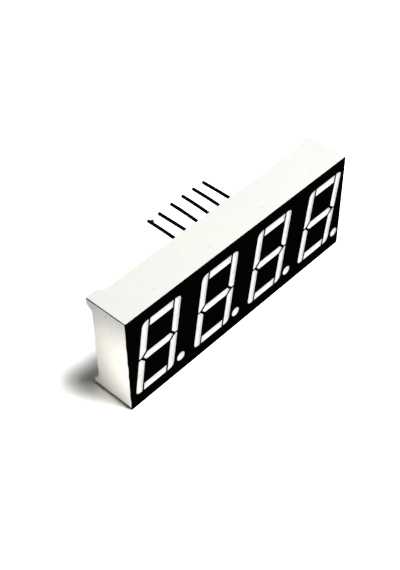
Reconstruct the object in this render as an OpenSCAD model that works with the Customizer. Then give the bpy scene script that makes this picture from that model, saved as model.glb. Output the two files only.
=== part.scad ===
// Four digit seven segment display module with a moulded reflector housing.
// It stands on its long lower side. X runs along the digits, the face that is
// read looks along -Y, the pins leave along +Y, and Z is up.
// The origin is the middle of the lower side.

/* [Housing] */
// Length along the row of digits
body_l = 50.3; // [50.3:0.1:54]
// Height across the digits
body_h = 19; // [19:0.1:22]
// Depth from the printed face to the corner feet
body_d = 8; // [8:0.1:10]
// Thickness of the outer wall
wall = 1.1; // [0.8:0.05:1.15]
// Radius of the four outer corners, seen from the face
edge_r = 0.1; // [0.1:0.05:0.5]
// Thickness of the moulded face where the back is cored out
face_plate = 1.2; // [0.8:0.1:2]
// Thickness of the walls between the cells and the core-outs
cell_wall = 0.7; // [0.6:0.05:0.8]

/* [Corner feet] */
// Length of a foot along the long side
foot_l = 2.1; // [1.5:0.1:4]
// Length of a foot along the short side
foot_h = 1.4; // [1.2:0.1:3]
// How far the feet stand beyond the long walls
foot_rise = 0.8; // [0.4:0.05:0.9]
// How far the feet stand beyond the short walls
foot_rise_end = 1.0; // [0.4:0.05:1]
// Length of the slanted flank of a foot
foot_flank = 0.85; // [0.3:0.05:1.5]

/* [Digits] */
// Distance from one digit to the next
digit_pitch = 12.7; // [12.6:0.05:12.8]
// Shift of the row of digits from the middle
digit_shift = 0.1; // [-0.2:0.05:0.2]
// Height of a digit
digit_h = 14.2; // [14:0.1:14.4]
// Width of a digit at any one height
digit_w = 8.15; // [8:0.05:8.3]
// Slant of the digits in degrees
slant = 9; // [8:0.5:10]
// Width of an upright segment
upright_w = 1.36; // [1.3:0.02:1.5]
// Thickness of a level segment
level_h = 1.48; // [1.4:0.02:1.6]
// Gap between neighbouring segments
segment_gap = 0.3; // [0.2:0.05:0.4]
// Length of the middle segment from point to point
middle_l = 6.3; // [6:0.1:6.4]
// Height over the middle at which an upright segment starts to narrow
point_start = 1; // [0.9:0.05:1.2]
// Radius of the digit's outer corners
corner_r = 0.9; // [0.5:0.1:1.2]
// Diameter of the decimal point
dot_d = 1.7; // [1.6:0.05:1.8]
// Distance of the decimal point from the digit's middle
dot_x = 4.62; // [4.56:0.02:4.7]

/* [Reflector cells] */
// White rim that the print leaves round each cell
rim = 0.2; // [0.1:0.01:0.25]
// Depth of a cell from the face to the circuit board
cell_depth = 5; // [4:0.1:5]
// Length of a cell where it meets the circuit board
cell_floor_l = 2.3; // [2.2:0.1:2.8]
// Width of a cell where it meets the circuit board
cell_floor_w = 0.8; // [0.7:0.02:0.9]
// How far the resin has shrunk below the mouth of its cell
resin_sink = 0.1; // [0:0.01:0.2]
// How far each wall of a core-out leans over its depth
core_draft = 0.25; // [0:0.05:0.3]

/* [Circuit board] */
// Thickness of the board
board_t = 1.2; // [0.8:0.1:1.2]
// Clearance between the board and the wall
board_gap = 0.05; // [0.03:0.01:0.1]
// Width of a copper track
track_w = 0.25; // [0.2:0.01:0.3]
// Diameter of the ring where a track changes side
via_d = 0.5; // [0.4:0.05:0.5]

/* [Lamps] */
// Side of a light emitting chip
chip_w = 0.26; // [0.2:0.02:0.3]
// Height of a light emitting chip
chip_h = 0.2; // [0.15:0.01:0.25]
// Thickness of a bond wire
wire_d = 0.04; // [0.03:0.01:0.05]
// Distance that a bond wire spans in a segment
wire_span = 0.8; // [0.7:0.05:0.8]
// Distance that a bond wire spans in a decimal point
dot_wire_span = 0.45; // [0.4:0.01:0.5]

/* [Pins] */
// Diameter of a pin
pin_d = 0.5; // [0.45:0.01:0.55]
// Diameter of a pin's root, from which it widens to wedge in the board
pin_root_d = 0.44; // [0.4:0.01:0.45]
// Distance between neighbouring pins in a row
pin_pitch = 2.54; // [2.5:0.01:2.6]
// Distance between the two rows of pins
row_pitch = 15.24; // [15.2:0.02:15.3]
// Free length of a pin beyond the corner feet
pin_l = 6.4; // [3:0.1:12]
// Length of a pin that stands out of the board's front
pin_head = 0.4; // [0.35:0.05:0.6]

/* [Print and potting] */
// Thickness of the black print on the face
print_t = 0.05; // [0.03:0.01:0.08]
// White edge left round the print
print_edge = 0.05; // [0.02:0.01:0.2]
// Thickness of the resin behind the board
potting_t = 0.55; // [0.5:0.05:0.6]

/* [Hidden] */
$fn = 48;
// how far a cutting shape reaches past the surface that it opens
over = 0.1;
// straight steps in the round corner of a segment
arc_steps = 6;
digit_count = 4;
pins_per_row = 6;

// places along the depth
face_y = -body_d / 2;
mouth_y = face_y + print_t;
board_y = mouth_y + cell_depth;
board_back_y = board_y + board_t;
potting_y = board_back_y + potting_t;
feet_y = body_d / 2;

// the recess in the back of the housing, filled by the board and the resin
recess_l = body_l - 2 * wall;
recess_h = body_h - 2 * wall;
recess_r = 0.5;
mid_z = body_h / 2;

// measures inside one digit, from its middle and before the slant
inner_u = digit_w / 2 - upright_w;
upright_u = (digit_w - upright_w) / 2;
level_v = (digit_h - level_h) / 2;
point_v = segment_gap / 2;
upright_v = (digit_h / 2 + point_start) / 2;
dot_v = (dot_d - digit_h) / 2;
dot_cell_r = dot_d / 2 - rim;

// copper, all of it let in flush with the board
copper_t = 0.05;
via_r = 0.15;
pad_r = 0.55;
chip_pad_w = 0.5;
// the bus of segment d lies this far over its bond pads
d_bus_rise = 0.8;

// solder round the pins, and the trough in the housing that clears it
fillet_r = 0.5;
fillet_top_r = 0.3;
fillet_h = 0.4;
head_solder_r = 0.42;
head_solder_h = 0.3;
trough_w = 1;
trough_d = 0.7;
pin_chamfer = 0.08;

// the segments by number, with the decimal point as the last
SEGMENTS = "abcdefg";
A = 0;
B = 1;
C = 2;
D = 3;
E = 4;
F = 5;
G = 6;
POINT = 7;
DIGITS = [1:digit_count];
LAMPS = [0:POINT];
PINS = [1:2 * pins_per_row];

function segment_node(d, s) =
    s == POINT ? str("digit_", d, "_decimal_point") : str("digit_", d, "_segment_", SEGMENTS[s]);
function chips_node(d) = str("digit_", d, "_led_chips");
function wires_node(d) = str("digit_", d, "_bond_wires");
function pin_node(n) = str("pin_", n);

// ---- places, as [x, z] on the face ----

// x of a digit's middle; digits count from 1, from the left
function digit_x(d) = (d - (digit_count + 1) / 2) * digit_pitch + digit_shift;

// a point given from the middle of digit d, as it is and leaned over by the slant
function upright_place(d, p) = [digit_x(d) + p[0], mid_z + p[1]];
function leaned_place(d, p) = upright_place(d, [p[0] + p[1] * tan(slant), p[1]]);

// where the chip of each segment sits in a digit, before the slant
CHIPS = [
    [0, level_v], [upright_u, upright_v], [upright_u, -upright_v], [0, -level_v],
    [-upright_u, -upright_v], [-upright_u, upright_v], [0, 0]
];
function chip_place(d, s) = s == POINT ? upright_place(d, [dot_x, dot_v]) : leaned_place(d, CHIPS[s]);

// which way each segment's bond wire leaves its chip, along the segment
LEVEL = [1, 0];
UPRIGHT = [sin(slant), cos(slant)];
WAYS = [LEVEL, UPRIGHT, UPRIGHT, -LEVEL, -UPRIGHT, -UPRIGHT, -LEVEL, [0, -1]];
function span(s) = s == POINT ? dot_wire_span : wire_span;
function bond_place(d, s) = chip_place(d, s) + span(s) * WAYS[s];

// z of the track on the board's back that joins the same segment of every digit
function bus_z(s) = bond_place(1, s)[1] + (s == D ? d_bus_rise : 0);

// pins 1 to 6 lie below, from the left, and pins 7 to 12 above, from the right
function is_low(n) = n <= pins_per_row;
function pin_step(n) = (is_low(n) ? n : 2 * pins_per_row + 1 - n) - (pins_per_row + 1) / 2;
function pin_place(n) = [pin_step(n) * pin_pitch, mid_z + (is_low(n) ? -row_pitch : row_pitch) / 2];

// ---- shapes that repeat ----

// an outline on the face, as a slab between two depths
module slab(y0, y1) {
    translate([0, y1, 0]) rotate([90, 0, 0]) linear_extrude(y1 - y0) children();
}

// a round bar or cone along the depth, of radius r0 at y0 and r1 at y1
module post(place, y0, y1, r0, r1) {
    translate([place[0], y0, place[1]]) rotate([-90, 0, 0]) cylinder(r1 = r0, r2 = r1, h = y1 - y0);
}

// a rectangle with round corners, in the middle of the face
module face_rect(l, h, r) {
    translate([0, mid_z]) {
        square([l - 2 * r, h], center = true);
        square([l, h - 2 * r], center = true);
        for (x = [-1, 1], z = [-1, 1]) translate([x * (l / 2 - r), z * (h / 2 - r)]) circle(r);
    }
}

// a bar along Z whose sides lean, from width w[0] at depth y0 to width w[1] at y1
module wedge(w, y0, y1, length) {
    linear_extrude(length, center = true)
        polygon([[-w[0] / 2, y0], [w[0] / 2, y0], [w[1] / 2, y1], [-w[1] / 2, y1]]);
}

// a pit with four leaning walls, of widths w and lengths l at y0 and y1, whose length is
// turned by side_turn from upright and whose ends are turned by end_turn
module pit(place, w, l, y0, y1, side_turn, end_turn) {
    reach = w[0] + w[1] + l[0] + l[1];
    translate([place[0], 0, place[1]]) intersection() {
        rotate([0, side_turn, 0]) wedge(w, y0, y1, reach);
        rotate([0, end_turn + 90, 0]) wedge(l, y0, y1, reach);
    }
}

// ---- outlines of the segments before the slant, each drawn in by d ----

// an upright segment, right of the middle and above it
function upright_outline(d) =
    let (r = corner_r - d, u = digit_w / 2 - d, v = digit_h / 2 - d, foot = point_v + d,
        narrow = point_start + d * (sqrt(2) - 1), inner = inner_u + d)
    concat(
        [[inner, v]],
        [for (t = [90:-90 / arc_steps:0]) [u - r + r * cos(t), v - r + r * sin(t)]],
        [[u, foot], [inner + narrow - foot, foot], [inner, narrow]]
    );

// a level segment, above the middle
function level_outline(d) =
    let (u = inner_u - segment_gap - d, top = digit_h / 2 - d, low = digit_h / 2 - level_h + d)
    [[-u, top], [u, top], [u, low], [-u, low]];

// the middle segment, with a point at each end
function middle_outline(d) =
    let (v = level_h / 2 - d, tip = middle_l / 2 - d * sqrt(2))
    [[-tip, 0], [v - tip, v], [tip - v, v], [tip, 0], [tip - v, -v], [v - tip, -v]];

// segments a, d and g are level; the others are mirrored from one upright segment
function is_level(s) = s == A || s == D || s == G;
MIRRORS = [[1, 1], [1, 1], [1, -1], [1, -1], [-1, -1], [-1, 1], [1, 1]];
function outline(d, s, inset) =
    let (shape = s == G ? middle_outline(inset)
        : is_level(s) ? level_outline(inset) : upright_outline(inset))
    [for (p = shape) leaned_place(d, [p[0] * MIRRORS[s][0], p[1] * MIRRORS[s][1]])];

// the window of a segment in the print, or the mouth of its cell inside the rim
module window(d, s, inset) {
    if (s == POINT) translate(chip_place(d, s)) circle(dot_d / 2 - inset);
    else polygon(outline(d, s, inset));
}

// ---- housing ----

// the leaning walls of a segment's cell, from the extent of its mouth to the opening round the chip
module cell_walls(d, s) {
    from_chip = [for (p = outline(d, s, rim)) p - chip_place(d, s)];
    across = [WAYS[s][1], -WAYS[s][0]];
    mouth_w = 2 * max([for (p = from_chip) abs(p * across)]);
    mouth_l = 2 * max([for (p = from_chip) abs(p * WAYS[s])]);
    turn = is_level(s) ? 90 : slant;
    pit(chip_place(d, s), [mouth_w + over, cell_floor_w], [mouth_l + over, cell_floor_l],
        mouth_y - over, board_y + over, turn, turn);
}

// the space of one reflector cell between two depths
module cell(d, s, y0, y1) {
    intersection() {
        slab(y0, y1) window(d, s, rim);
        if (s != POINT) cell_walls(d, s);
    }
}

// a core-out open to the board, slanted like the digits: half_u and half_v at its deep end
module core_out(d, p, half_u, half_v) {
    w = 2 * cos(slant) * [half_u, half_u + core_draft];
    pit(leaned_place(d, p), w, 2 * [half_v, half_v + core_draft],
        mouth_y + face_plate, board_y + over, slant, 0);
}

// the core-outs inside the two loops of a digit
module loop_cores(d) {
    low = level_h / 2 - rim + cell_wall;
    top = digit_h / 2 - level_h + rim - cell_wall;
    for (side = [-1, 1])
        core_out(d, [0, side * (low + top) / 2], inner_u + rim - cell_wall, (top - low) / 2);
}

// the core-out between a digit and the next one, clear of the decimal point
module side_core(d) {
    low = dot_v + dot_cell_r + cell_wall;
    top = digit_h / 2 - rim - cell_wall;
    core_out(d, [digit_pitch / 2, (low + top) / 2],
        (digit_pitch - digit_w) / 2 + rim - cell_wall, (top - low) / 2);
}

// the side view of the body along one of its sides, with a foot at each end
module foot_profile(length, foot, rise) {
    end = length / 2;
    low = feet_y - rise;
    polygon([
        [-end, mouth_y], [end, mouth_y], [end, feet_y], [end - foot, feet_y],
        [end - foot - foot_flank, low], [foot + foot_flank - end, low], [foot - end, feet_y], [-end, feet_y]
    ]);
}

// the outside of the body: three side views that meet
module outer_form() {
    intersection() {
        slab(mouth_y - over, feet_y + over) face_rect(body_l, body_h, edge_r);
        linear_extrude(body_h) foot_profile(body_l, foot_l, foot_rise);
        translate([0, 0, mid_z]) rotate([0, 90, 0]) linear_extrude(body_l, center = true)
            foot_profile(body_h, foot_h, foot_rise_end);
    }
}

// the trough that clears the pin heads of one row
module head_trough(row) {
    row_z = pin_place(row == 0 ? 1 : 2 * pins_per_row)[1];
    slab(board_y - trough_d, board_y + over)
        translate([0, row_z]) square([pins_per_row * pin_pitch, trough_w], center = true);
}

module housing() {
    color("ivory") difference() {
        outer_form();
        slab(board_y, feet_y + over) face_rect(recess_l, recess_h, recess_r);
        for (d = DIGITS, s = LAMPS) cell(d, s, mouth_y - over, board_y + over);
        for (d = DIGITS) loop_cores(d);
        for (d = [1:digit_count - 1]) side_core(d);
        for (row = [0, 1]) head_trough(row);
    }
}

// the black print, open over every cell
module front_print() {
    color("black") slab(face_y, mouth_y) difference() {
        face_rect(body_l - 2 * print_edge, body_h - 2 * print_edge, edge_r);
        for (d = DIGITS, s = LAMPS) window(d, s, 0);
    }
}

// ---- lamps ----

module chip(d, s) {
    place = chip_place(d, s);
    translate([place[0], board_y - chip_h / 2, place[1]]) cube([chip_w, chip_h, chip_w], center = true);
}

// the loop of a bond wire, run on into the chip and the board by a few degrees
module bond_loop(d, s) {
    place = chip_place(d, s);
    chord = [span(s), chip_h];
    run_on = 6;
    translate([place[0], board_y, place[1]])
        rotate([0, -atan2(WAYS[s][1], WAYS[s][0]), 0])
        rotate([180, 0, 0])
        translate(chord / 2)
        rotate([0, 0, -atan2(chip_h, span(s)) - run_on])
        rotate_extrude(angle = 180 + 2 * run_on)
        translate([norm(chord) / 2, 0]) circle(d = wire_d, $fn = 8);
}

module led_chips(d) {
    color("orange") for (s = LAMPS) chip(d, s);
}

module bond_wires(d) {
    color("gold") for (s = LAMPS) difference() {
        bond_loop(d, s);
        chip(d, s);
        slab(board_y, board_back_y) face_rect(recess_l, recess_h, recess_r);
    }
}

// the milky resin cast in one cell, round its chip and bond wire
module light_pipe(d, s) {
    color("white") difference() {
        cell(d, s, mouth_y + resin_sink, board_y);
        chip(d, s);
        bond_loop(d, s);
    }
}

// ---- circuit board ----

// a track through a list of places, with square ends
module track(places) {
    for (i = [1:len(places) - 1]) {
        leg = places[i] - places[i - 1];
        translate(places[i - 1]) rotate(atan2(leg[1], leg[0]))
            translate(-[track_w, track_w] / 2) square([norm(leg) + track_w, track_w]);
    }
}

// the common track of a digit: a leaning spine with branches to every chip
module common_tracks(d) {
    track([chip_place(d, D), chip_place(d, A)]);
    track([chip_place(d, F), chip_place(d, B)]);
    track([leaned_place(d, [0, -upright_v]), chip_place(d, C), chip_place(d, POINT)]);
    // the branch to segment e steps inwards, round the bond pad of segment f
    step_u = inner_u - track_w;
    step_start_v = upright_v / 3;
    step_end_v = 2 * step_start_v;
    track([
        chip_place(d, E), leaned_place(d, [-upright_u, step_start_v]),
        leaned_place(d, [-step_u, step_end_v]), leaned_place(d, [-step_u, upright_v])
    ]);
}

// pins 8, 9 and 12 are the commons of digits 3, 2 and 1, and pin 6 is that of digit 4
module common_feeds() {
    first_a = chip_place(1, A);
    last_d = chip_place(digit_count, D);
    // halfway up segment b of digit 2, where the track from pin 9 meets it
    meet_v = upright_v / 2;
    track([pin_place(12), [first_a[0], pin_place(12)[1]], first_a]);
    track([
        pin_place(9), [pin_place(9)[0], mid_z + meet_v],
        leaned_place(2, [upright_u, meet_v]), chip_place(2, B)
    ]);
    track([pin_place(8), chip_place(3, F)]);
    track([pin_place(6), [last_d[0], pin_place(6)[1]], last_d]);
}

// the pins that reach their bus on the board's front, as [pin, segment]
FRONT_FEEDS = [[1, E], [2, D], [4, C], [5, G], [7, B], [10, F]];
// the pins that reach their bus on the board's back
BACK_FEEDS = [[3, POINT], [11, A]];
function bus_end(feed) = [pin_place(feed[0])[0], bus_z(feed[1])];

module pin_pads() {
    for (n = PINS) translate(pin_place(n)) circle(pad_r);
}

// every place where a track changes side
module via_rings(d) {
    for (digit = DIGITS, s = LAMPS) translate(bond_place(digit, s)) circle(d = d);
    for (feed = FRONT_FEEDS) translate(bus_end(feed)) circle(d = d);
}

module front_copper() {
    pin_pads();
    via_rings(via_d);
    for (d = DIGITS) {
        common_tracks(d);
        for (s = LAMPS) translate(chip_place(d, s)) square(chip_pad_w, center = true);
    }
    common_feeds();
    for (feed = FRONT_FEEDS) track([pin_place(feed[0]), bus_end(feed)]);
}

module back_copper() {
    pin_pads();
    via_rings(via_d);
    for (s = LAMPS)
        track([[bond_place(1, s)[0], bus_z(s)], [bond_place(digit_count, s)[0], bus_z(s)]]);
    for (d = DIGITS) track([bond_place(d, D), [bond_place(d, D)[0], bus_z(D)]]);
    for (feed = BACK_FEEDS) track([pin_place(feed[0]), bus_end(feed)]);
}

module copper() {
    slab(board_y, board_y + copper_t) front_copper();
    slab(board_back_y - copper_t, board_back_y) back_copper();
    slab(board_y + copper_t, board_back_y - copper_t) via_rings(2 * via_r);
}

module copper_tracks() {
    color("peru") difference() {
        copper();
        for (n = PINS) pin(n);
    }
}

module circuit_board() {
    color("seagreen") difference() {
        slab(board_y, board_back_y)
            face_rect(recess_l - 2 * board_gap, recess_h - 2 * board_gap, recess_r);
        copper();
        for (n = PINS) pin(n);
    }
}

// ---- pins, solder and potting ----

// a round pin whose root widens up to the level of the housing's long walls
module pin(n) {
    place = pin_place(n);
    r = pin_d / 2;
    start_y = board_y - pin_head;
    root_l = feet_y - foot_rise - start_y;
    length = feet_y + pin_l - start_y;
    color("dimgray") translate([place[0], start_y, place[1]]) rotate([-90, 0, 0]) rotate_extrude()
        polygon([
            [0, 0], [pin_root_d / 2, 0], [r, root_l],
            [r, length - pin_chamfer], [r - pin_chamfer, length], [0, length]
        ]);
}

module solder_cones() {
    for (n = PINS) {
        post(pin_place(n), board_back_y, board_back_y + fillet_h, fillet_r, fillet_top_r);
        post(pin_place(n), board_y - head_solder_h, board_y, fillet_top_r, head_solder_r);
    }
}

module solder_joints() {
    color("silver") difference() {
        solder_cones();
        for (n = PINS) pin(n);
    }
}

// the clear resin that seals the board into the back of the housing
module rear_potting() {
    color("wheat", 0.5) difference() {
        slab(board_back_y, potting_y) face_rect(recess_l, recess_h, recess_r);
        solder_cones();
        for (n = PINS) pin(n);
    }
}

housing();
front_print();
circuit_board();
copper_tracks();
solder_joints();
rear_potting();
for (d = DIGITS, s = LAMPS) light_pipe(d, s);
for (d = DIGITS) led_chips(d);
for (d = DIGITS) bond_wires(d);
for (n = PINS) pin(n);
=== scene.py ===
"""Finishes the four digit display module in Blender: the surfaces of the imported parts, the wires,
solder and resin that need a finer shape, and the stage that it stands on."""

import math

import bmesh
import bpy
from bpy.props import FloatProperty, FloatVectorProperty, IntProperty, PointerProperty
from mathutils import Matrix, Vector, noise


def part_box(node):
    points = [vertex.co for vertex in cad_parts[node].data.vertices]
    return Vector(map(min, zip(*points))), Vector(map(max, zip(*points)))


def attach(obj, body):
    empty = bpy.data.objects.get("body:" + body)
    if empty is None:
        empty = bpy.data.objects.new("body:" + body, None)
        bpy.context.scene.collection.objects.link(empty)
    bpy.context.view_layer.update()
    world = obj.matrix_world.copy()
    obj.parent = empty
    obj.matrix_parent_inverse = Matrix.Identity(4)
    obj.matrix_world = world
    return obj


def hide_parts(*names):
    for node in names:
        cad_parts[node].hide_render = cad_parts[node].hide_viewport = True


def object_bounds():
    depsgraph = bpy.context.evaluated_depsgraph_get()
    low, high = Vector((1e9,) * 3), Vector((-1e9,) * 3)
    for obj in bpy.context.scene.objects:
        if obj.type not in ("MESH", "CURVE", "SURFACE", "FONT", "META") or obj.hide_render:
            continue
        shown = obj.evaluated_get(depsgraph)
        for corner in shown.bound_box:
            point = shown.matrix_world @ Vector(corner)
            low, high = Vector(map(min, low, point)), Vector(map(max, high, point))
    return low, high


bl_info = {
    "name": "Display module finish",
    "version": (1, 0, 0),
    "blender": (4, 5, 0),
    "location": "3D View > Sidebar > Display module",
    "description": "Surfaces, wires, solder, resin and stage of a four digit display module",
    "category": "Object",
}

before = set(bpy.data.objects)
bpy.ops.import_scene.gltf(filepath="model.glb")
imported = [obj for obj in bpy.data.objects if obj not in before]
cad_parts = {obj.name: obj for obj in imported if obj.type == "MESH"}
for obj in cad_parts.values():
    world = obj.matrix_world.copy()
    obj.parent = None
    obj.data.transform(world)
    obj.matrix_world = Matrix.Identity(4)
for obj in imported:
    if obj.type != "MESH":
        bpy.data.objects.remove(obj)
CAD_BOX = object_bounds()

MM = 0.001
BODY = "root"
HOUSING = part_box("housing")
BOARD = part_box("circuit_board")
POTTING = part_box("rear_potting")
PINS = [f"pin_{n}" for n in range(1, 13)]
DIGITS = range(1, 5)


# ---- helpers ----


def linear(code):
    """The linear RGBA colour of an sRGB hex code such as "#f4f3ea"."""
    parts = [int(code.lstrip("#")[i : i + 2], 16) / 255 for i in (0, 2, 4)]
    return [p / 12.92 if p <= 0.04045 else ((p + 0.055) / 1.055) ** 2.4 for p in parts] + [1.0]


def add_node(tree, kind, inputs=None, **settings):
    """Adds a node; inputs maps a socket's name or number to a value or to another node's output."""
    made = tree.nodes.new(kind)
    for name, value in settings.items():
        setattr(made, name, value)
    for key, value in (inputs or {}).items():
        if isinstance(value, bpy.types.NodeSocket):
            tree.links.new(value, made.inputs[key])
        else:
            made.inputs[key].default_value = value
    return made


def new_material(name, **values):
    """A material with one Principled shader whose sockets are set to values."""
    material = bpy.data.materials.new(name)
    material.use_nodes = True
    tree = material.node_tree
    tree.nodes.clear()
    sockets = {key.replace("_", " "): value for key, value in values.items()}
    shader = add_node(tree, "ShaderNodeBsdfPrincipled", sockets)
    add_node(tree, "ShaderNodeOutputMaterial", {"Surface": shader.outputs[0]})
    return material, tree, shader


def wear(nodes, material):
    """Gives the material to every slot of the CAD nodes."""
    for name in nodes:
        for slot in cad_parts[name].material_slots:
            slot.material = material


def millimetres(tree):
    """The place on the object as a vector in millimetres of the frame."""
    place = add_node(tree, "ShaderNodeTexCoord").outputs["Object"]
    return add_node(tree, "ShaderNodeVectorMath", {0: place, "Scale": 1 / MM}, operation="SCALE").outputs[0]


def mottle(tree, place, size, low, high, detail=3.0):
    """A value that wanders between low and high in patches of about size millimetres."""
    cloud = add_node(tree, "ShaderNodeTexNoise", {"Vector": place, "Scale": 1 / size, "Detail": detail})
    spread = {"Value": cloud.outputs[0], "From Min": 0.3, "From Max": 0.7, "To Min": low, "To Max": high}
    return add_node(tree, "ShaderNodeMapRange", spread).outputs[0]


def fade(tree, value, full, none):
    """A mask that is 1 up to the value full and falls smoothly to 0 at the value none."""
    ends = {"Value": value, "From Min": full, "From Max": none, "To Min": 1.0, "To Max": 0.0}
    return add_node(tree, "ShaderNodeMapRange", ends, interpolation_type="SMOOTHSTEP").outputs[0]


def both(tree, first, second):
    """Where two masks hold together."""
    return add_node(tree, "ShaderNodeMath", {0: first, 1: second}, operation="MULTIPLY").outputs[0]


def either(tree, first, second):
    """Where at least one of two masks holds."""
    return add_node(tree, "ShaderNodeMath", {0: first, 1: second}, operation="MAXIMUM").outputs[0]


def less(tree, first, second):
    """The first value less the second."""
    return add_node(tree, "ShaderNodeMath", {0: first, 1: second}, operation="SUBTRACT").outputs[0]


def layer(tree, mask, under, over):
    """The colour over laid on the colour under as far as the mask says."""
    return add_node(tree, "ShaderNodeMix", {0: mask, 6: under, 7: over}, data_type="RGBA").outputs[2]


def roughen(tree, shader, height, depth, edge_round=0.0):
    """Gives the shader a bump from a height of 0 to 1 that is depth millimetres deep, over edges that
    are rounded by edge_round metres."""
    inputs = {"Height": height, "Distance": depth * MM, "Strength": 1.0}
    if edge_round:
        inputs["Normal"] = add_node(tree, "ShaderNodeBevel", {"Radius": edge_round}).outputs[0]
    bump = add_node(tree, "ShaderNodeBump", inputs)
    tree.links.new(bump.outputs[0], shader.inputs["Normal"])


def new_piece(name, mesh, material, slot, *nodes):
    """A finished piece that rides on the body and stands for some CAD nodes."""
    for polygon in mesh.polygons:
        polygon.use_smooth = True
    mesh.materials.append(material)
    piece = bpy.data.objects.new(name, mesh)
    bpy.context.scene.collection.objects.link(piece)
    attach(piece, BODY)
    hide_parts(*nodes)
    return piece


# ---- what a user would change ----


def colour(name, description, code):
    """A colour property whose default is an sRGB hex code."""
    return FloatVectorProperty(
        name=name, description=description, default=linear(code), size=4, min=0, max=1, subtype="COLOR"
    )


def length(name, description, millimetres_long):
    """A length property whose default is given in millimetres."""
    return FloatProperty(
        name=name, description=description, default=millimetres_long * MM, unit="LENGTH", precision=5
    )


def angle(name, description, degrees):
    """An angle property whose default is given in degrees."""
    return FloatProperty(name=name, description=description, default=math.radians(degrees), unit="ROTATION")


def power(name, description, watts):
    """A lamp's power."""
    return FloatProperty(name=name, description=description, default=watts, unit="POWER", precision=5)


def position(name, description, millimetres_away):
    """A position whose default is given in millimetres of the frame."""
    default = Vector(millimetres_away) * MM
    return FloatVectorProperty(
        name=name, description=description, default=default, unit="LENGTH", precision=5
    )


class HousingLook(bpy.types.PropertyGroup):
    plastic: colour("Plastic", "Warm white of the filled polycarbonate", "#f4f3eb")
    plastic_cool: colour("Plastic, cooler", "White of the patches that flowed in last", "#f0f0ee")
    plastic_grey: colour("Plastic, greyer", "White of the finest flecks", "#e9e8e1")
    # painted shade: along the foot of each end this dark colour is a painted contact shadow; along the upper
    # edge it is a plain dark line
    dark_line_and_contact_shade: colour("Grime", "Dark line that handling leaves along the edges", "#171613")
    speck: colour("Speck", "Small dark inclusions in the white", "#4c4940")
    line_width: length("Grime width", "Width of the dark line along the upper edge of an end", 0.26)
    # painted shade: the band along the foot stands for the contact shadow on the floor
    foot_line_width: length("Foot grime width", "Width of the dark line along the foot of an end", 0.48)
    edge_round: length("Edge round", "Rounding of the moulding's edges", 0.05)
    grain_size: length("Grain size", "Size of the eroded mould texture", 0.25)
    grain_depth: length("Grain depth", "Depth of the eroded mould texture", 0.014)


class PrintLook(bpy.types.PropertyGroup):
    ink: colour("Ink", "Black of the printed face", "#030303")
    ink_pale: colour("Ink, paler", "Ink where the layer is thinner", "#050505")
    ink_over: colour("Ink, run over", "Ink that has run over on to the white edge", "#060606")
    overrun: length("Overrun", "How far the ink wraps over the left edge", 0.16)


class ResinLook(bpy.types.PropertyGroup):
    milky: colour("Milky resin", "White of the diffused resin", "#f7f6f6")
    settled: colour("Settled resin", "Resin over the chip, where less diffuser settled", "#e8e5e8")
    # painted shade: the grey of the line along each cell's wall, where the rim shades the resin
    drawn: colour("Drawn edge", "Resin along the wall of its cell", "#d0cecd")
    gap: length("Drawn edge width", "Width of the line along the wall of a cell", 0.12)
    clear: colour("Potting resin", "Hazy resin behind the board", "#e6e0c4")
    clear_pale: colour("Potting resin, paler", "Resin where it is less yellowed", "#f1eedd")
    haze: FloatProperty(name="Haze", description="How much the potting hides", default=0.3, min=0, max=1)
    creep: length("Creep", "How far the potting climbs at the wall and the pins", 0.16)


class BoardLook(bpy.types.PropertyGroup):
    laminate: colour("Laminate", "Green mask over glass laminate", "#2a6a45")
    laminate_thread: colour("Laminate thread", "Green mask over a thread of the cloth", "#33774f")
    masked_copper: colour("Masked copper", "Green mask over copper", "#6aa86a")
    masked_copper_dark: colour("Masked copper, darker", "Thicker mask over copper", "#5a985d")
    weave: length("Weave", "Spacing of the glass cloth's threads", 0.45)


class LampLook(bpy.types.PropertyGroup):
    crystal: colour("Crystal", "Amber of the light emitting chips", "#c8792c")
    crystal_dark: colour("Crystal, darker", "Amber in the saw marks", "#a85f22")
    bond: colour("Bond wire", "Aluminium of the bond wires", "#dcdddd")
    bond_dark: colour("Bond wire, darker", "Aluminium in the drawing marks", "#c3c4c5")


class WireLook(bpy.types.PropertyGroup):
    # painted reflection: the near black of the pins stands for the dark surroundings that tinned wire
    # mirrors, not for a real oxide
    metal: colour("Metal", "Oxidised tin on the pins", "#070707")
    paler_tin: colour("Worn metal", "Tin where the oxide is thinner", "#100f0e")
    solder: colour("Solder", "Solder round the pins", "#c4c6c8")
    solder_dark: colour("Solder, darker", "Solder between its crystals", "#9fa1a3")
    burr_dark: colour("Burr, darker", "Darkest of the burnt flux", "#1b1614")
    burr: colour("Burr", "Burnt flux on the end of one pin", "#2a1c18")
    coat: length("Coat", "Thickness of the dipped tin on a pin", 0.045)
    sides: IntProperty(name="Sides", description="Facets round a wire", default=24, min=8, max=64)


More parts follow.
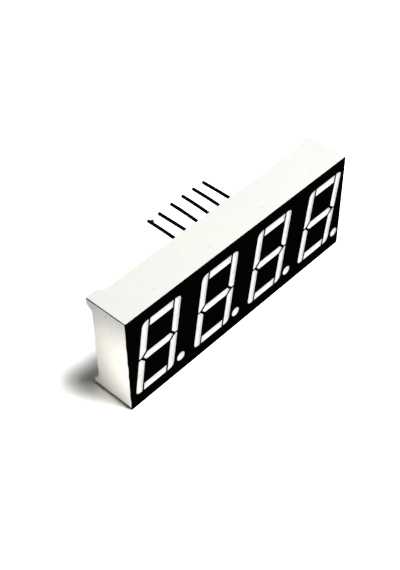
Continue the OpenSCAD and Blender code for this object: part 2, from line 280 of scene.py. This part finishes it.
class StageLook(bpy.types.PropertyGroup):
    paper: FloatProperty(name="Paper", description="How much light the floor gives back", default=0.15)
    paper_seen: FloatProperty(name="Paper, seen", description="How pale the floor shows", default=2.58)
    floor_half: length("Floor half side", "Half the side of the floor, within the key lamp's reach", 200)
    room: FloatProperty(name="Room", description="Strength of the light from all round", default=0.01)
    key: power("Key lamp", "Power of the lamp above", 0.95)
    key_size: length("Key lamp size", "Side of the lamp above", 104)
    key_away: length("Key lamp distance", "Distance of the lamp above", 300)
    key_from: FloatVectorProperty(
        name="Key lamp direction",
        description="Way from the module to the lamp above",
        default=(3.6, -6.5, 19),
        subtype="DIRECTION",
    )
    left: power("Left lamp", "Power of the lamp beside the left end", 0.03)
    right: power("Right lamp", "Power of the lamp beside the right end", 0.2)
    front: power("Front lamp", "Power of the lamp in front", 0.5)
    back: power("Back lamp", "Power of the lamp behind", 0.1)
    side_size: length("Side lamp size", "Side of each lamp round the module", 120)
    side_away: length("Side lamp distance", "Distance of each lamp round the module", 250)
    near: power("Near lamp", "Power of the small lamp close to the left end", 0.00101)
    near_size: length("Near lamp size", "Side of the small lamp", 14)
    near_spread: angle("Near lamp spread", "Width of the small lamp's beam", 90)
    near_place: position("Near lamp place", "Place of the small lamp", (-39.4, -5, 8.8))
    near_colour: colour("Near lamp colour", "Warm white of the small lamp", "#fffcf4")
    lens: FloatProperty(name="Lens", description="Focal length", default=69.24, unit="CAMERA")
    azimuth: angle("Azimuth", "Direction of the camera round the module, from the front", -46.76)
    elevation: angle("Elevation", "Height of the camera over the module", 45.26)
    roll: angle("Roll", "Turn of the camera about its own axis", -0.76)
    aim: position("Aim", "Place that the camera looks at", (-4.1, 1.4, 7.5))
    camera_away: length("Camera distance", "Distance of the camera from its aim", 173.75)


class ModuleLook(bpy.types.PropertyGroup):
    housing: PointerProperty(type=HousingLook)
    face: PointerProperty(type=PrintLook)
    resin: PointerProperty(type=ResinLook)
    board: PointerProperty(type=BoardLook)
    lamps: PointerProperty(type=LampLook)
    wire: PointerProperty(type=WireLook)
    stage: PointerProperty(type=StageLook)


# ---- materials ----

HOUSING_LOW, HOUSING_HIGH = (corner / MM for corner in HOUSING)

# small marks in the white plastic, in millimetres: how far from the left end, the front and the
# top each lies, how wide it is, and how dark from 0 to 1
END_MARKS = [(0.0, 3.94, 1.15, 0.42, 1.0), (0.0, 3.1, 4.11, 0.36, 0.4)]
# the mould's four pins left a mark each along the upper long side
TOP_MARKS = [(7.7 + 11.95 * step, 1.95, 0.0, 0.4, 0.4) for step in range(4)]


def moulded_polycarbonate(look, face):
    """Polycarbonate filled with white pigment and injection moulded: a warm satin white, with the
    fine grain of the eroded mould, faint flow patches, a dark line along the upper edge of each end, painted
    contact shadow along the foot of each end, and specks."""
    material, tree, shader = new_material("moulded white polycarbonate", IOR=1.58)
    place = millimetres(tree)
    white = layer(tree, mottle(tree, place, 7.0, 0.0, 1.0), look.plastic, look.plastic_cool)

    white = layer(tree, both(tree, mottle(tree, place, 0.4, 0.0, 1.0), 0.5), white, look.plastic_grey)

    # a dark line along the upper edge of the two end faces, and painted shade along their lower edge: a
    # contact shadow where they meet the floor
    x, y, z = add_node(tree, "ShaderNodeSeparateXYZ", {0: place}).outputs
    from_middle = add_node(tree, "ShaderNodeMath", {0: x}, operation="ABSOLUTE").outputs[0]
    from_end = less(tree, HOUSING_HIGH.x, from_middle)
    from_top = less(tree, HOUSING_HIGH.z, z)
    top_line_and_foot_shadow = [
        fade(tree, away, 0.7 * width, 1.3 * width)
        for away, width in ((from_top, look.line_width / MM), (z, look.foot_line_width / MM))
    ]
    top_line_and_foot_shadow = both(tree, either(tree, *top_line_and_foot_shadow), fade(tree, from_end, 0.02, 0.06))
    white = layer(tree, both(tree, top_line_and_foot_shadow, mottle(tree, place, 0.8, 0.85, 1.0)), white, look.dark_line_and_contact_shade)

    for from_left, from_front, from_top, width, dark in END_MARKS + TOP_MARKS:
        centre = (HOUSING_LOW.x + from_left, HOUSING_LOW.y + from_front, HOUSING_HIGH.z - from_top)
        away = add_node(tree, "ShaderNodeVectorMath", {0: place, 1: centre}, operation="DISTANCE")
        spot = both(tree, fade(tree, away.outputs["Value"], 0.0, width / 2), dark)
        white = layer(tree, spot, white, look.speck)

    # the black ink creeps over the left front edge by a wandering width
    reach = mottle(tree, place, 2.2, 0.0, face.overrun / MM, detail=1.0)
    beyond = less(tree, y, reach)
    front = HOUSING_LOW.y
    ink = both(
        tree,
        fade(tree, beyond, front, front + 0.05),
        fade(tree, x, HOUSING_LOW.x + 0.05, HOUSING_LOW.x + 0.1),
    )
    white = layer(tree, ink, white, face.ink_over)
    # the two dark edge bands and the run-over ink lose their sheen, which keeps the painted contact shadow
    # dark
    matt = {"Value": either(tree, top_line_and_foot_shadow, ink), "To Min": 0.5, "To Max": 0.0}
    gloss = add_node(tree, "ShaderNodeMapRange", matt).outputs[0]

    tree.links.new(white, shader.inputs["Base Color"])
    tree.links.new(gloss, shader.inputs["Specular IOR Level"])
    tree.links.new(mottle(tree, place, 1.5, 0.36, 0.5), shader.inputs["Roughness"])
    # the real grain is 0.03 mm, too fine to show
    grain = mottle(tree, place, look.grain_size / MM, 0.0, 1.0)
    roughen(tree, shader, grain, look.grain_depth / MM, look.edge_round)
    return material


def screen_printed_ink(look):
    """Matt epoxy ink, screen printed: a black that gives back almost nothing, with the faint
    orange peel that the mesh of the screen leaves."""
    material, tree, shader = new_material("screen printed matt ink", IOR=1.5, Specular_IOR_Level=0.0)
    place = millimetres(tree)
    black = layer(tree, mottle(tree, place, 3.0, 0.0, 1.0), look.ink, look.ink_pale)
    tree.links.new(black, shader.inputs["Base Color"])
    tree.links.new(mottle(tree, place, 0.9, 0.5, 0.7), shader.inputs["Roughness"])
    roughen(tree, shader, mottle(tree, place, 0.3, 0.0, 1.0), 0.004)
    return material


def diffused_epoxy(look):
    """Epoxy with white diffuser, cast in each cell: milky and smooth, and a little greyer over the
    chip, where the diffuser sank less evenly."""
    material, tree, shader = new_material("diffused epoxy", IOR=1.54)
    place = millimetres(tree)
    within = add_node(tree, "ShaderNodeTexCoord").outputs["Generated"]
    away = add_node(
        tree, "ShaderNodeVectorMath", {0: within, 1: (0.5, 0.0, 0.5)}, operation="DISTANCE"
    ).outputs["Value"]
    over_chip = both(tree, fade(tree, away, 0.0, 0.45), mottle(tree, place, 0.9, 0.1, 0.9))
    milky = layer(tree, over_chip, look.milky, look.settled)

    # painted shade: a fine grey line along the wall of each cell, where the rim shades the sunk resin
    rounded_normal = add_node(tree, "ShaderNodeBevel", {"Radius": look.gap}).outputs[0]
    normal = add_node(tree, "ShaderNodeNewGeometry").outputs["Normal"]
    level = add_node(
        tree, "ShaderNodeVectorMath", {0: rounded_normal, 1: normal}, operation="DOT_PRODUCT"
    ).outputs["Value"]
    milky = layer(tree, fade(tree, level, 0.8, 0.98), milky, look.drawn)
    tree.links.new(milky, shader.inputs["Base Color"])
    tree.links.new(mottle(tree, place, 1.2, 0.22, 0.34), shader.inputs["Roughness"])
    roughen(tree, shader, mottle(tree, place, 1.4, 0.0, 1.0, detail=1.0), 0.015)
    return material


def masked_laminate(look):
    """Epoxy glass laminate under green solder mask: glossy, with the weave of the glass cloth
    just showing."""
    material, tree, shader = new_material("solder mask over laminate", IOR=1.55)
    place = millimetres(tree)
    threads = add_node(
        tree, "ShaderNodeTexChecker", {"Vector": place, "Scale": MM / look.weave}
    ).outputs["Fac"]
    weave = both(tree, threads, mottle(tree, place, 0.6, 0.2, 0.5))
    green = layer(tree, weave, look.laminate, look.laminate_thread)
    tree.links.new(green, shader.inputs["Base Color"])
    tree.links.new(mottle(tree, place, 1.0, 0.22, 0.36), shader.inputs["Roughness"])
    roughen(tree, shader, weave, 0.01)
    return material


def masked_copper(look):
    """Copper foil under green solder mask: the same gloss as the board, in a lighter green that
    shows the tracks."""
    material, tree, shader = new_material("solder mask over copper", IOR=1.55)
    place = millimetres(tree)
    green = layer(
        tree, mottle(tree, place, 1.6, 0.0, 0.6), look.masked_copper, look.masked_copper_dark
    )
    tree.links.new(green, shader.inputs["Base Color"])
    tree.links.new(mottle(tree, place, 0.8, 0.22, 0.34), shader.inputs["Roughness"])
    return material


def clear_epoxy(look):
    """Clear epoxy poured behind the board and left to cure: glassy, yellowed and a little hazy,
    so that the board shows through it."""
    material, tree, shader = new_material("poured clear epoxy", IOR=1.54, Alpha=look.haze, Roughness=0.08)
    place = millimetres(tree)
    haze = layer(tree, mottle(tree, place, 4.0, 0.0, 1.0), look.clear, look.clear_pale)
    tree.links.new(haze, shader.inputs["Base Color"])
    roughen(tree, shader, mottle(tree, place, 5.0, 0.0, 1.0, detail=1.0), 0.05)
    return material


def drawn_wire(look):
    """Copper clad steel wire, drawn and tinned, in a near black that is painted dark reflection rather than
    the tin's own colour, with faint marks along it.
    """
    material, tree, shader = new_material("near_black tinned wire", Metallic=1.0)
    shader.inputs["Specular Tint"].default_value = look.paler_tin
    place = millimetres(tree)
    along = add_node(
        tree, "ShaderNodeVectorMath", {0: place, 1: (8.0, 0.6, 8.0)}, operation="MULTIPLY"
    ).outputs[0]
    tone = layer(tree, mottle(tree, along, 1.0, 0.0, 1.0), look.metal, look.paler_tin)
    tree.links.new(tone, shader.inputs["Base Color"])
    tree.links.new(mottle(tree, along, 1.0, 0.34, 0.52), shader.inputs["Roughness"])
    roughen(tree, shader, mottle(tree, along, 1.0, 0.0, 1.0), 0.004)
    return material


def burnt_flux(look):
    """Flux burnt on to the end of a pin: a dark brown varnish."""
    material, tree, shader = new_material("burnt flux", IOR=1.5)
    place = millimetres(tree)
    brown = layer(tree, mottle(tree, place, 0.12, 0.0, 1.0), look.burr, look.burr_dark)
    tree.links.new(brown, shader.inputs["Base Color"])
    tree.links.new(mottle(tree, place, 0.1, 0.3, 0.6), shader.inputs["Roughness"])
    return material


def soldered_tin(look):
    """Tin solder that has cooled in air: bright, with the frosty grain of its crystals."""
    material, tree, shader = new_material("tin solder", Metallic=1.0)
    place = millimetres(tree)
    bright = layer(tree, mottle(tree, place, 0.15, 0.0, 1.0), look.solder, look.solder_dark)
    tree.links.new(bright, shader.inputs["Base Color"])
    tree.links.new(mottle(tree, place, 0.12, 0.16, 0.36), shader.inputs["Roughness"])
    roughen(tree, shader, mottle(tree, place, 0.12, 0.0, 1.0), 0.006)
    return material


def diced_crystal(look):
    """Gallium phosphide, sawn into chips: a waxy amber with saw marks on its sides."""
    material, tree, shader = new_material("sawn gallium phosphide", IOR=3.2)
    place = millimetres(tree)
    amber = layer(tree, mottle(tree, place, 0.08, 0.0, 1.0), look.crystal, look.crystal_dark)
    tree.links.new(amber, shader.inputs["Base Color"])
    tree.links.new(mottle(tree, place, 0.05, 0.3, 0.5), shader.inputs["Roughness"])
    return material


def bonding_wire(look):
    """Aluminium drawn to bonding wire: bright and soft, with faint drawing marks."""
    material, tree, shader = new_material("aluminium bonding wire", Metallic=1.0)
    place = millimetres(tree)
    bright = layer(tree, mottle(tree, place, 0.05, 0.0, 1.0), look.bond, look.bond_dark)
    tree.links.new(bright, shader.inputs["Base Color"])
    tree.links.new(mottle(tree, place, 0.05, 0.2, 0.35), shader.inputs["Roughness"])
    return material


# ---- shapes ----


def loft(rings, cap_start=True, cap_end=True):
    """A mesh through closed rings of equally many points, with flat caps at its ends."""
    bm = bmesh.new()
    rows = [[bm.verts.new(point) for point in ring] for ring in rings]
    for low, high in zip(rows, rows[1:]):
        for i, corner in enumerate(low):
            j = (i + 1) % len(low)
            bm.faces.new((corner, low[j], high[j], high[i]))
    if cap_start:
        bm.faces.new(reversed(rows[0]))
    if cap_end:
        bm.faces.new(rows[-1])
    bmesh.ops.recalc_face_normals(bm, faces=bm.faces)
    return bm


def ring(centre, wide, high, sides, tilt=0.0):
    """A ring round the Y axis through centre; tilt leans its plane in Z as it goes round."""
    points = []
    for i in range(sides):
        turn = 2 * math.pi * i / sides
        x, z = wide * math.cos(turn), high * math.sin(turn)
        points.append(centre + Vector((x, tilt * z, z)))
    return points


def to_mesh(bm, name):
    """The finished mesh of bm, which is freed."""
    mesh = bpy.data.meshes.new(name)
    bm.to_mesh(mesh)
    bm.free()
    return mesh


def pin_axis(name):
    """A pin's middle at its board end, its length and its radius."""
    low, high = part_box(name)
    middle = (low + high) / 2
    return Vector((middle.x, low.y, middle.z)), high.y - low.y, (high.x - low.x) / 2


# how far the free end of a pin that isn't quite straight leans, in millimetres along X and Z
LEANS = {
    "pin_12": (0.14, 0.09), "pin_11": (0.0, 0.04), "pin_10": (0.21, 0.2), "pin_9": (0.24, 0.22),
    "pin_8": (0.18, 0.15), "pin_7": (0.03, 0.04),
}


def wire_point(name, depth):
    """The middle of a pin at a distance along it, with its lean and a slight waviness."""
    start, _, _ = pin_axis(name)
    free = POTTING[1].y
    _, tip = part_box(name)
    share = max(0.0, (start.y + depth - free) / (tip.y - free))
    aside, up = LEANS.get(name, (0, 0))
    lean = Vector((aside, 0, up)) * MM * (2 * share - share**2)
    wave = noise.noise(Vector((start.x, depth, start.z)) / (2.5 * MM)) * 0.012 * MM * min(1.0, 4 * share)
    return start + Vector((wave, depth, wave / 2)) + lean


def pin_wire(name, coat, sides):
    """A round wire, coated where it stands free of the resin and cut off by shears: its end is drawn
    in, a little flattened and cut aslant."""
    start, whole, radius = pin_axis(name)
    cut = 0.3 * MM
    root = POTTING[1].y - start.y
    rings = []
    for depth in (0.0, root / 2, root):
        rings.append(ring(wire_point(name, depth), radius, radius, sides))
    radius += coat
    steps = 16
    free = root + 0.1 * MM
    for step in range(steps + 1):
        depth = free + (whole - cut - free) * step / steps
        rings.append(ring(wire_point(name, depth), radius, radius, sides))
    # shares of the cut end: how far along, how wide and how high the wire still is
    for along, wide, high in ((0.35, 1.0, 0.97), (0.65, 0.99, 0.9), (0.86, 0.93, 0.78), (1.0, 0.78, 0.58)):
        depth = whole - cut * (1 - along) - 0.05 * MM
        rings.append(ring(wire_point(name, depth), radius * wide, radius * high, sides, tilt=0.2 * along))
    return loft(rings)


def burr(name):
    """A bead of burnt flux on the upper side of a pin, just short of its end."""
    _, whole, radius = pin_axis(name)
    bm = bmesh.new()
    bmesh.ops.create_icosphere(bm, subdivisions=4, radius=1.0)
    centre = wire_point(name, whole - 0.8 * MM) + Vector((0.8, 0, 0.6)) * (radius + 0.12 * MM)
    for vert in bm.verts:
        lump = 1 + 0.35 * noise.noise(vert.co * 1.7) + 0.12 * noise.noise(vert.co * 4.0)
        vert.co = centre + Vector((vert.co.x * 0.22, vert.co.y * 0.3, vert.co.z * 0.22)) * MM * lump
    return bm


def meniscus(centre, foot, top, height, sides):
    """A concave cone of solder round a pin, from its foot on the board to its thin upper edge."""
    rings = []
    steps = 10
    for step in range(steps + 1):
        share = step / steps
        reach = top + (foot - top) * (1 - share) ** 2.4
        middle = centre + Vector((0, height * share, 0))
        rings.append(ring(middle, reach, reach, sides))
    return loft(rings)


def solder_joints(sides):
    """The solder of every pin on both sides of the board, each a little different in height."""
    low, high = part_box("solder_joints")
    bm = bmesh.new()
    for name in PINS:
        start, _, radius = pin_axis(name)
        uneven = noise.noise(start / (1.7 * MM))
        for face, tall in ((BOARD[1].y, high.y - BOARD[1].y), (BOARD[0].y, low.y - BOARD[0].y)):
            centre = Vector((start.x, face, start.z))
            foot = (radius + 0.25 * MM) * (0.97 + 0.03 * uneven)
            part = meniscus(centre, foot, radius + 0.01 * MM, tall * (0.9 + 0.1 * uneven), sides)
            part_mesh = to_mesh(part, "joint")
            bm.from_mesh(part_mesh)
            bpy.data.meshes.remove(part_mesh)
    return bm


def stations(low, high, dense, fine, coarse):
    """Places from low to high, fine steps apart within reach of the dense places and coarse elsewhere."""
    places = [low]
    while places[-1] < high - fine / 2:
        here = places[-1]
        near = min(abs(here - place) for place in dense + [low, high])
        places.append(min(high, here + (fine if near < 6 * fine else coarse)))
    return places


def rounded(x, z, middle, half, radius):
    """Moves a place of a rectangle's grid so that the rectangle gets round corners."""
    u, v = x - middle.x, z - middle.z
    over_u, over_v = abs(u) - (half.x - radius), abs(v) - (half.z - radius)
    if over_u > 0 and over_v > 0:
        a, b = over_u / radius, over_v / radius
        u = math.copysign(half.x - radius + radius * a * math.sqrt(1 - b * b / 2), u)
        v = math.copysign(half.z - radius + radius * b * math.sqrt(1 - a * a / 2), v)
    return middle.x + u, middle.z + v


def potting_fill(creep):
    """The resin behind the board: a slab whose surface climbs at the wall and at every pin."""
    low, high = POTTING
    # a hair clear of the board and the wall, so that no two faces lie in one plane
    clear = 0.015 * MM
    middle, half = (low + high) / 2, (high - low) / 2 - Vector((clear, 0, clear))
    corner = 0.5 * MM
    pins = [pin_axis(name) for name in PINS]
    fine, coarse = 0.14 * MM, 0.7 * MM
    pins_x = sorted({round(p.x, 7) for p, _, _ in pins})
    pins_z = sorted({round(p.z, 7) for p, _, _ in pins})
    columns = stations(middle.x - half.x, middle.x + half.x, pins_x, fine, coarse)
    rows = stations(middle.z - half.z, middle.z + half.z, pins_z, fine, coarse)

    def surface(x, z):
        wall = min(half.x - abs(x - middle.x), half.z - abs(z - middle.z))
        climb = math.exp(-wall / (0.35 * MM))
        for place, _, radius in pins:
            away = max(0.0, math.hypot(x - place.x, z - place.z) - radius)
            climb = max(climb, 0.8 * math.exp(-away / (0.22 * MM)))
        wave = noise.noise(Vector((x, 0, z)) / (6 * MM))
        return high.y - creep * 0.35 + creep * climb * 0.6 + 0.02 * MM * wave * (1 - climb)

    bm = bmesh.new()
    top, floor = [], []
    for x in columns:
        spots = [rounded(x, z, middle, half, corner) for z in rows]
        top.append([bm.verts.new((u, min(surface(u, v), high.y + creep), v)) for u, v in spots])
        floor.append([bm.verts.new((u, low.y + clear, v)) for u, v in spots])
    last_column, last_row = len(columns) - 1, len(rows) - 1
    for i in range(last_column):
        for j in range(last_row):
            for sheet in (top, floor):
                bm.faces.new((sheet[i][j], sheet[i + 1][j], sheet[i + 1][j + 1], sheet[i][j + 1]))
    border = [(i, 0) for i in range(last_column)] + [(last_column, j) for j in range(last_row)]
    border += [(i, last_row) for i in range(last_column, 0, -1)] + [(0, j) for j in range(last_row, 0, -1)]
    for (a, b), (c, d) in zip(border, border[1:] + border[:1]):
        bm.faces.new((top[a][b], top[c][d], floor[c][d], floor[a][b]))
    bmesh.ops.recalc_face_normals(bm, faces=bm.faces)
    return bm


# ---- operators ----


class DISPLAY_OT_housing(bpy.types.Operator):
    """Finishes the white housing"""

    bl_idname = "display_module.housing"
    bl_label = "Finish the housing"

    def execute(self, context):
        look = context.scene.display_module
        wear(["housing"], moulded_polycarbonate(look.housing, look.face))
        return {"FINISHED"}


class DISPLAY_OT_face(bpy.types.Operator):
    """Finishes the black print on the face"""

    bl_idname = "display_module.face"
    bl_label = "Finish the printed face"

    def execute(self, context):
        wear(["front_print"], screen_printed_ink(context.scene.display_module.face))
        return {"FINISHED"}


class DISPLAY_OT_segments(bpy.types.Operator):
    """Finishes the milky resin of every segment and decimal point"""

    bl_idname = "display_module.segments"
    bl_label = "Finish the segments"

    def execute(self, context):
        cast = [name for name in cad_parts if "_segment_" in name or name.endswith("_decimal_point")]
        wear(cast, diffused_epoxy(context.scene.display_module.resin))
        return {"FINISHED"}


class DISPLAY_OT_lamps(bpy.types.Operator):
    """Finishes the chips and their bond wires"""

    bl_idname = "display_module.lamps"
    bl_label = "Finish the lamps"

    def execute(self, context):
        look = context.scene.display_module.lamps
        wear([f"digit_{digit}_led_chips" for digit in DIGITS], diced_crystal(look))
        wear([f"digit_{digit}_bond_wires" for digit in DIGITS], bonding_wire(look))
        return {"FINISHED"}


class DISPLAY_OT_board(bpy.types.Operator):
    """Finishes the circuit board and its copper"""

    bl_idname = "display_module.board"
    bl_label = "Finish the board"

    def execute(self, context):
        look = context.scene.display_module.board
        wear(["circuit_board"], masked_laminate(look))
        wear(["copper_tracks"], masked_copper(look))
        return {"FINISHED"}


class DISPLAY_OT_pins(bpy.types.Operator):
    """Makes the twelve wires with their cut ends, and the bead of flux on one of them"""

    bl_idname = "display_module.pins"
    bl_label = "Make the pins"

    def execute(self, context):
        look = context.scene.display_module.wire
        metal = drawn_wire(look)
        for name in PINS:
            mesh = to_mesh(pin_wire(name, look.coat, look.sides), f"{name}_wire")
            new_piece(f"{name}_wire", mesh, metal, "pin_metal", name)
        mesh = to_mesh(burr("pin_12"), "pin_12_flux")
        new_piece("pin_12_flux", mesh, burnt_flux(look), "pin_metal")
        return {"FINISHED"}


class DISPLAY_OT_solder(bpy.types.Operator):
    """Makes the solder round every pin"""

    bl_idname = "display_module.solder"
    bl_label = "Make the solder"

    def execute(self, context):
        look = context.scene.display_module.wire
        mesh = to_mesh(solder_joints(look.sides), "solder_fillets")
        new_piece("solder_fillets", mesh, soldered_tin(look), "solder", "solder_joints")
        return {"FINISHED"}


class DISPLAY_OT_potting(bpy.types.Operator):
    """Makes the resin behind the board, which climbs at the wall and the pins"""

    bl_idname = "display_module.potting"
    bl_label = "Make the potting"

    def execute(self, context):
        look = context.scene.display_module.resin
        mesh = to_mesh(potting_fill(look.creep), "potting_fill")
        new_piece("potting_fill", mesh, clear_epoxy(look), "potting_resin", "rear_potting")
        return {"FINISHED"}


class DISPLAY_OT_stage(bpy.types.Operator):
    """Makes the floor, the lamps, the light from all round and the camera"""

    bl_idname = "display_module.stage"
    bl_label = "Make the stage"

    def execute(self, context):
        look = context.scene.display_module.stage
        scene = context.scene
        floor = make_floor(look)
        make_room(look)
        middle = (CAD_BOX[0] + CAD_BOX[1]) / 2
        key_from = Vector(look.key_from).normalized()
        make_lamp("key_lamp", middle + key_from * look.key_away, key_from, look.key_size, look.key)
        # soft lamps all round light the upright walls
        sides = {
            "left": ((-1, 0, 0), look.left), "right": ((1, 0, 0), look.right),
            "front": ((0, -1, 0), look.front), "back": ((0, 1, 0), look.back),
        }
        for name, (side, watts) in sides.items():
            side = Vector(side)
            lamp = make_lamp(f"{name}_lamp", middle + side * look.side_away, side, look.side_size, watts)
            spare(lamp, floor)
        # a small lamp gives the left end its brighter middle
        near = make_lamp("near_lamp", Vector(look.near_place), Vector((-1, 0, 0)), look.near_size, look.near)
        near.data.spread = look.near_spread
        near.data.color = look.near_colour[:3]
        spare(near, floor)
        make_camera(look)
        scene.view_settings.view_transform = "Standard"
        return {"FINISHED"}


def seen(tree):
    """1 for the rays that look at a thing straight, by a mirror or through glass."""
    ray = add_node(tree, "ShaderNodeLightPath").outputs
    mirrored = either(tree, ray["Is Glossy Ray"], ray["Is Transmission Ray"])
    return either(tree, ray["Is Camera Ray"], mirrored)


def make_floor(look):
    """A wide sheet of pale paper that shows white and keeps the module's shadow."""
    bm = bmesh.new()
    bmesh.ops.create_grid(bm, x_segments=8, y_segments=8, size=look.floor_half)
    floor = bpy.data.objects.new("floor", to_mesh(bm, "floor"))
    bpy.context.scene.collection.objects.link(floor)
    floor.location.z = CAD_BOX[0].z
    material = bpy.data.materials.new("floor paper")
    material.use_nodes = True
    tree = material.node_tree
    tree.nodes.clear()
    straight = seen(tree)
    pale = add_node(
        tree, "ShaderNodeMapRange", {"Value": straight, "To Min": look.paper, "To Max": look.paper_seen}
    )
    matt = add_node(tree, "ShaderNodeBsdfDiffuse", {"Color": pale.outputs[0]})
    add_node(tree, "ShaderNodeOutputMaterial", {"Surface": matt.outputs[0]})
    floor.data.materials.append(material)
    return floor


def make_room(look):
    """Even light from all round, which shows as plain white."""
    world = bpy.data.worlds.new("room")
    world.use_nodes = True
    tree = world.node_tree
    tree.nodes.clear()
    straight = seen(tree)
    strength = add_node(
        tree, "ShaderNodeMapRange", {"Value": straight, "To Min": look.room, "To Max": 1.0}
    ).outputs[0]
    background = add_node(tree, "ShaderNodeBackground", {"Strength": strength})
    background.inputs["Color"].default_value = (1, 1, 1, 1)
    add_node(tree, "ShaderNodeOutputWorld", {"Surface": background.outputs[0]})
    bpy.context.scene.world = world


def make_lamp(name, place, direction, size, watts):
    """A soft square lamp at a place, which looks back along its direction from the module."""
    data = bpy.data.lights.new(name, "AREA")
    data.size = size
    data.energy = watts
    lamp = bpy.data.objects.new(name, data)
    bpy.context.scene.collection.objects.link(lamp)
    lamp.location = place
    lamp.rotation_mode = "QUATERNION"
    lamp.rotation_quaternion = direction.to_track_quat("Z", "Y")
    lamp.visible_camera = False
    return lamp


def spare(lamp, floor):
    """Keeps a lamp's light off the floor, so that the floor keeps the shadow under the key lamp."""
    spared = bpy.data.collections.new(f"{lamp.name} spares")
    spared.objects.link(floor)
    spared.collection_objects[0].light_linking.link_state = "EXCLUDE"
    lamp.light_linking.receiver_collection = spared


def make_camera(look):
    """The camera, which looks down on the left end and the face."""
    data = bpy.data.cameras.new("camera")
    data.lens = look.lens
    data.clip_start = 0.01
    camera = bpy.data.objects.new("camera", data)
    bpy.context.scene.collection.objects.link(camera)
    level = math.cos(look.elevation)
    back = Vector(
        (math.sin(look.azimuth) * level, -math.cos(look.azimuth) * level, math.sin(look.elevation))
    )
    camera.matrix_world = (
        Matrix.Translation(Vector(look.aim) + back * look.camera_away)
        @ back.to_track_quat("Z", "Y").to_matrix().to_4x4()
        @ Matrix.Rotation(look.roll, 4, "Z")
    )
    bpy.context.scene.camera = camera


OPERATORS = (
    DISPLAY_OT_housing,
    DISPLAY_OT_face,
    DISPLAY_OT_segments,
    DISPLAY_OT_lamps,
    DISPLAY_OT_board,
    DISPLAY_OT_pins,
    DISPLAY_OT_solder,
    DISPLAY_OT_potting,
    DISPLAY_OT_stage,
)


class DISPLAY_PT_module(bpy.types.Panel):
    """Lists the steps that finish the module"""

    bl_label = "Display module"
    bl_idname = "DISPLAY_PT_module"
    bl_space_type = "VIEW_3D"
    bl_region_type = "UI"
    bl_category = "Display module"

    def draw(self, context):
        for operator in OPERATORS:
            self.layout.operator(operator.bl_idname)


CLASSES = (
    HousingLook, PrintLook, ResinLook, BoardLook, LampLook, WireLook, StageLook, ModuleLook,
    *OPERATORS, DISPLAY_PT_module,
)


def register():
    for made in CLASSES:
        bpy.utils.register_class(made)
    bpy.types.Scene.display_module = PointerProperty(type=ModuleLook)


def unregister():
    del bpy.types.Scene.display_module
    for made in reversed(CLASSES):
        bpy.utils.unregister_class(made)


def main():
    """Finishes the module step by step."""
    register()
    for operator in OPERATORS:
        group, step = operator.bl_idname.split(".")
        getattr(getattr(bpy.ops, group), step)()


if __name__ == "__main__":
    main()
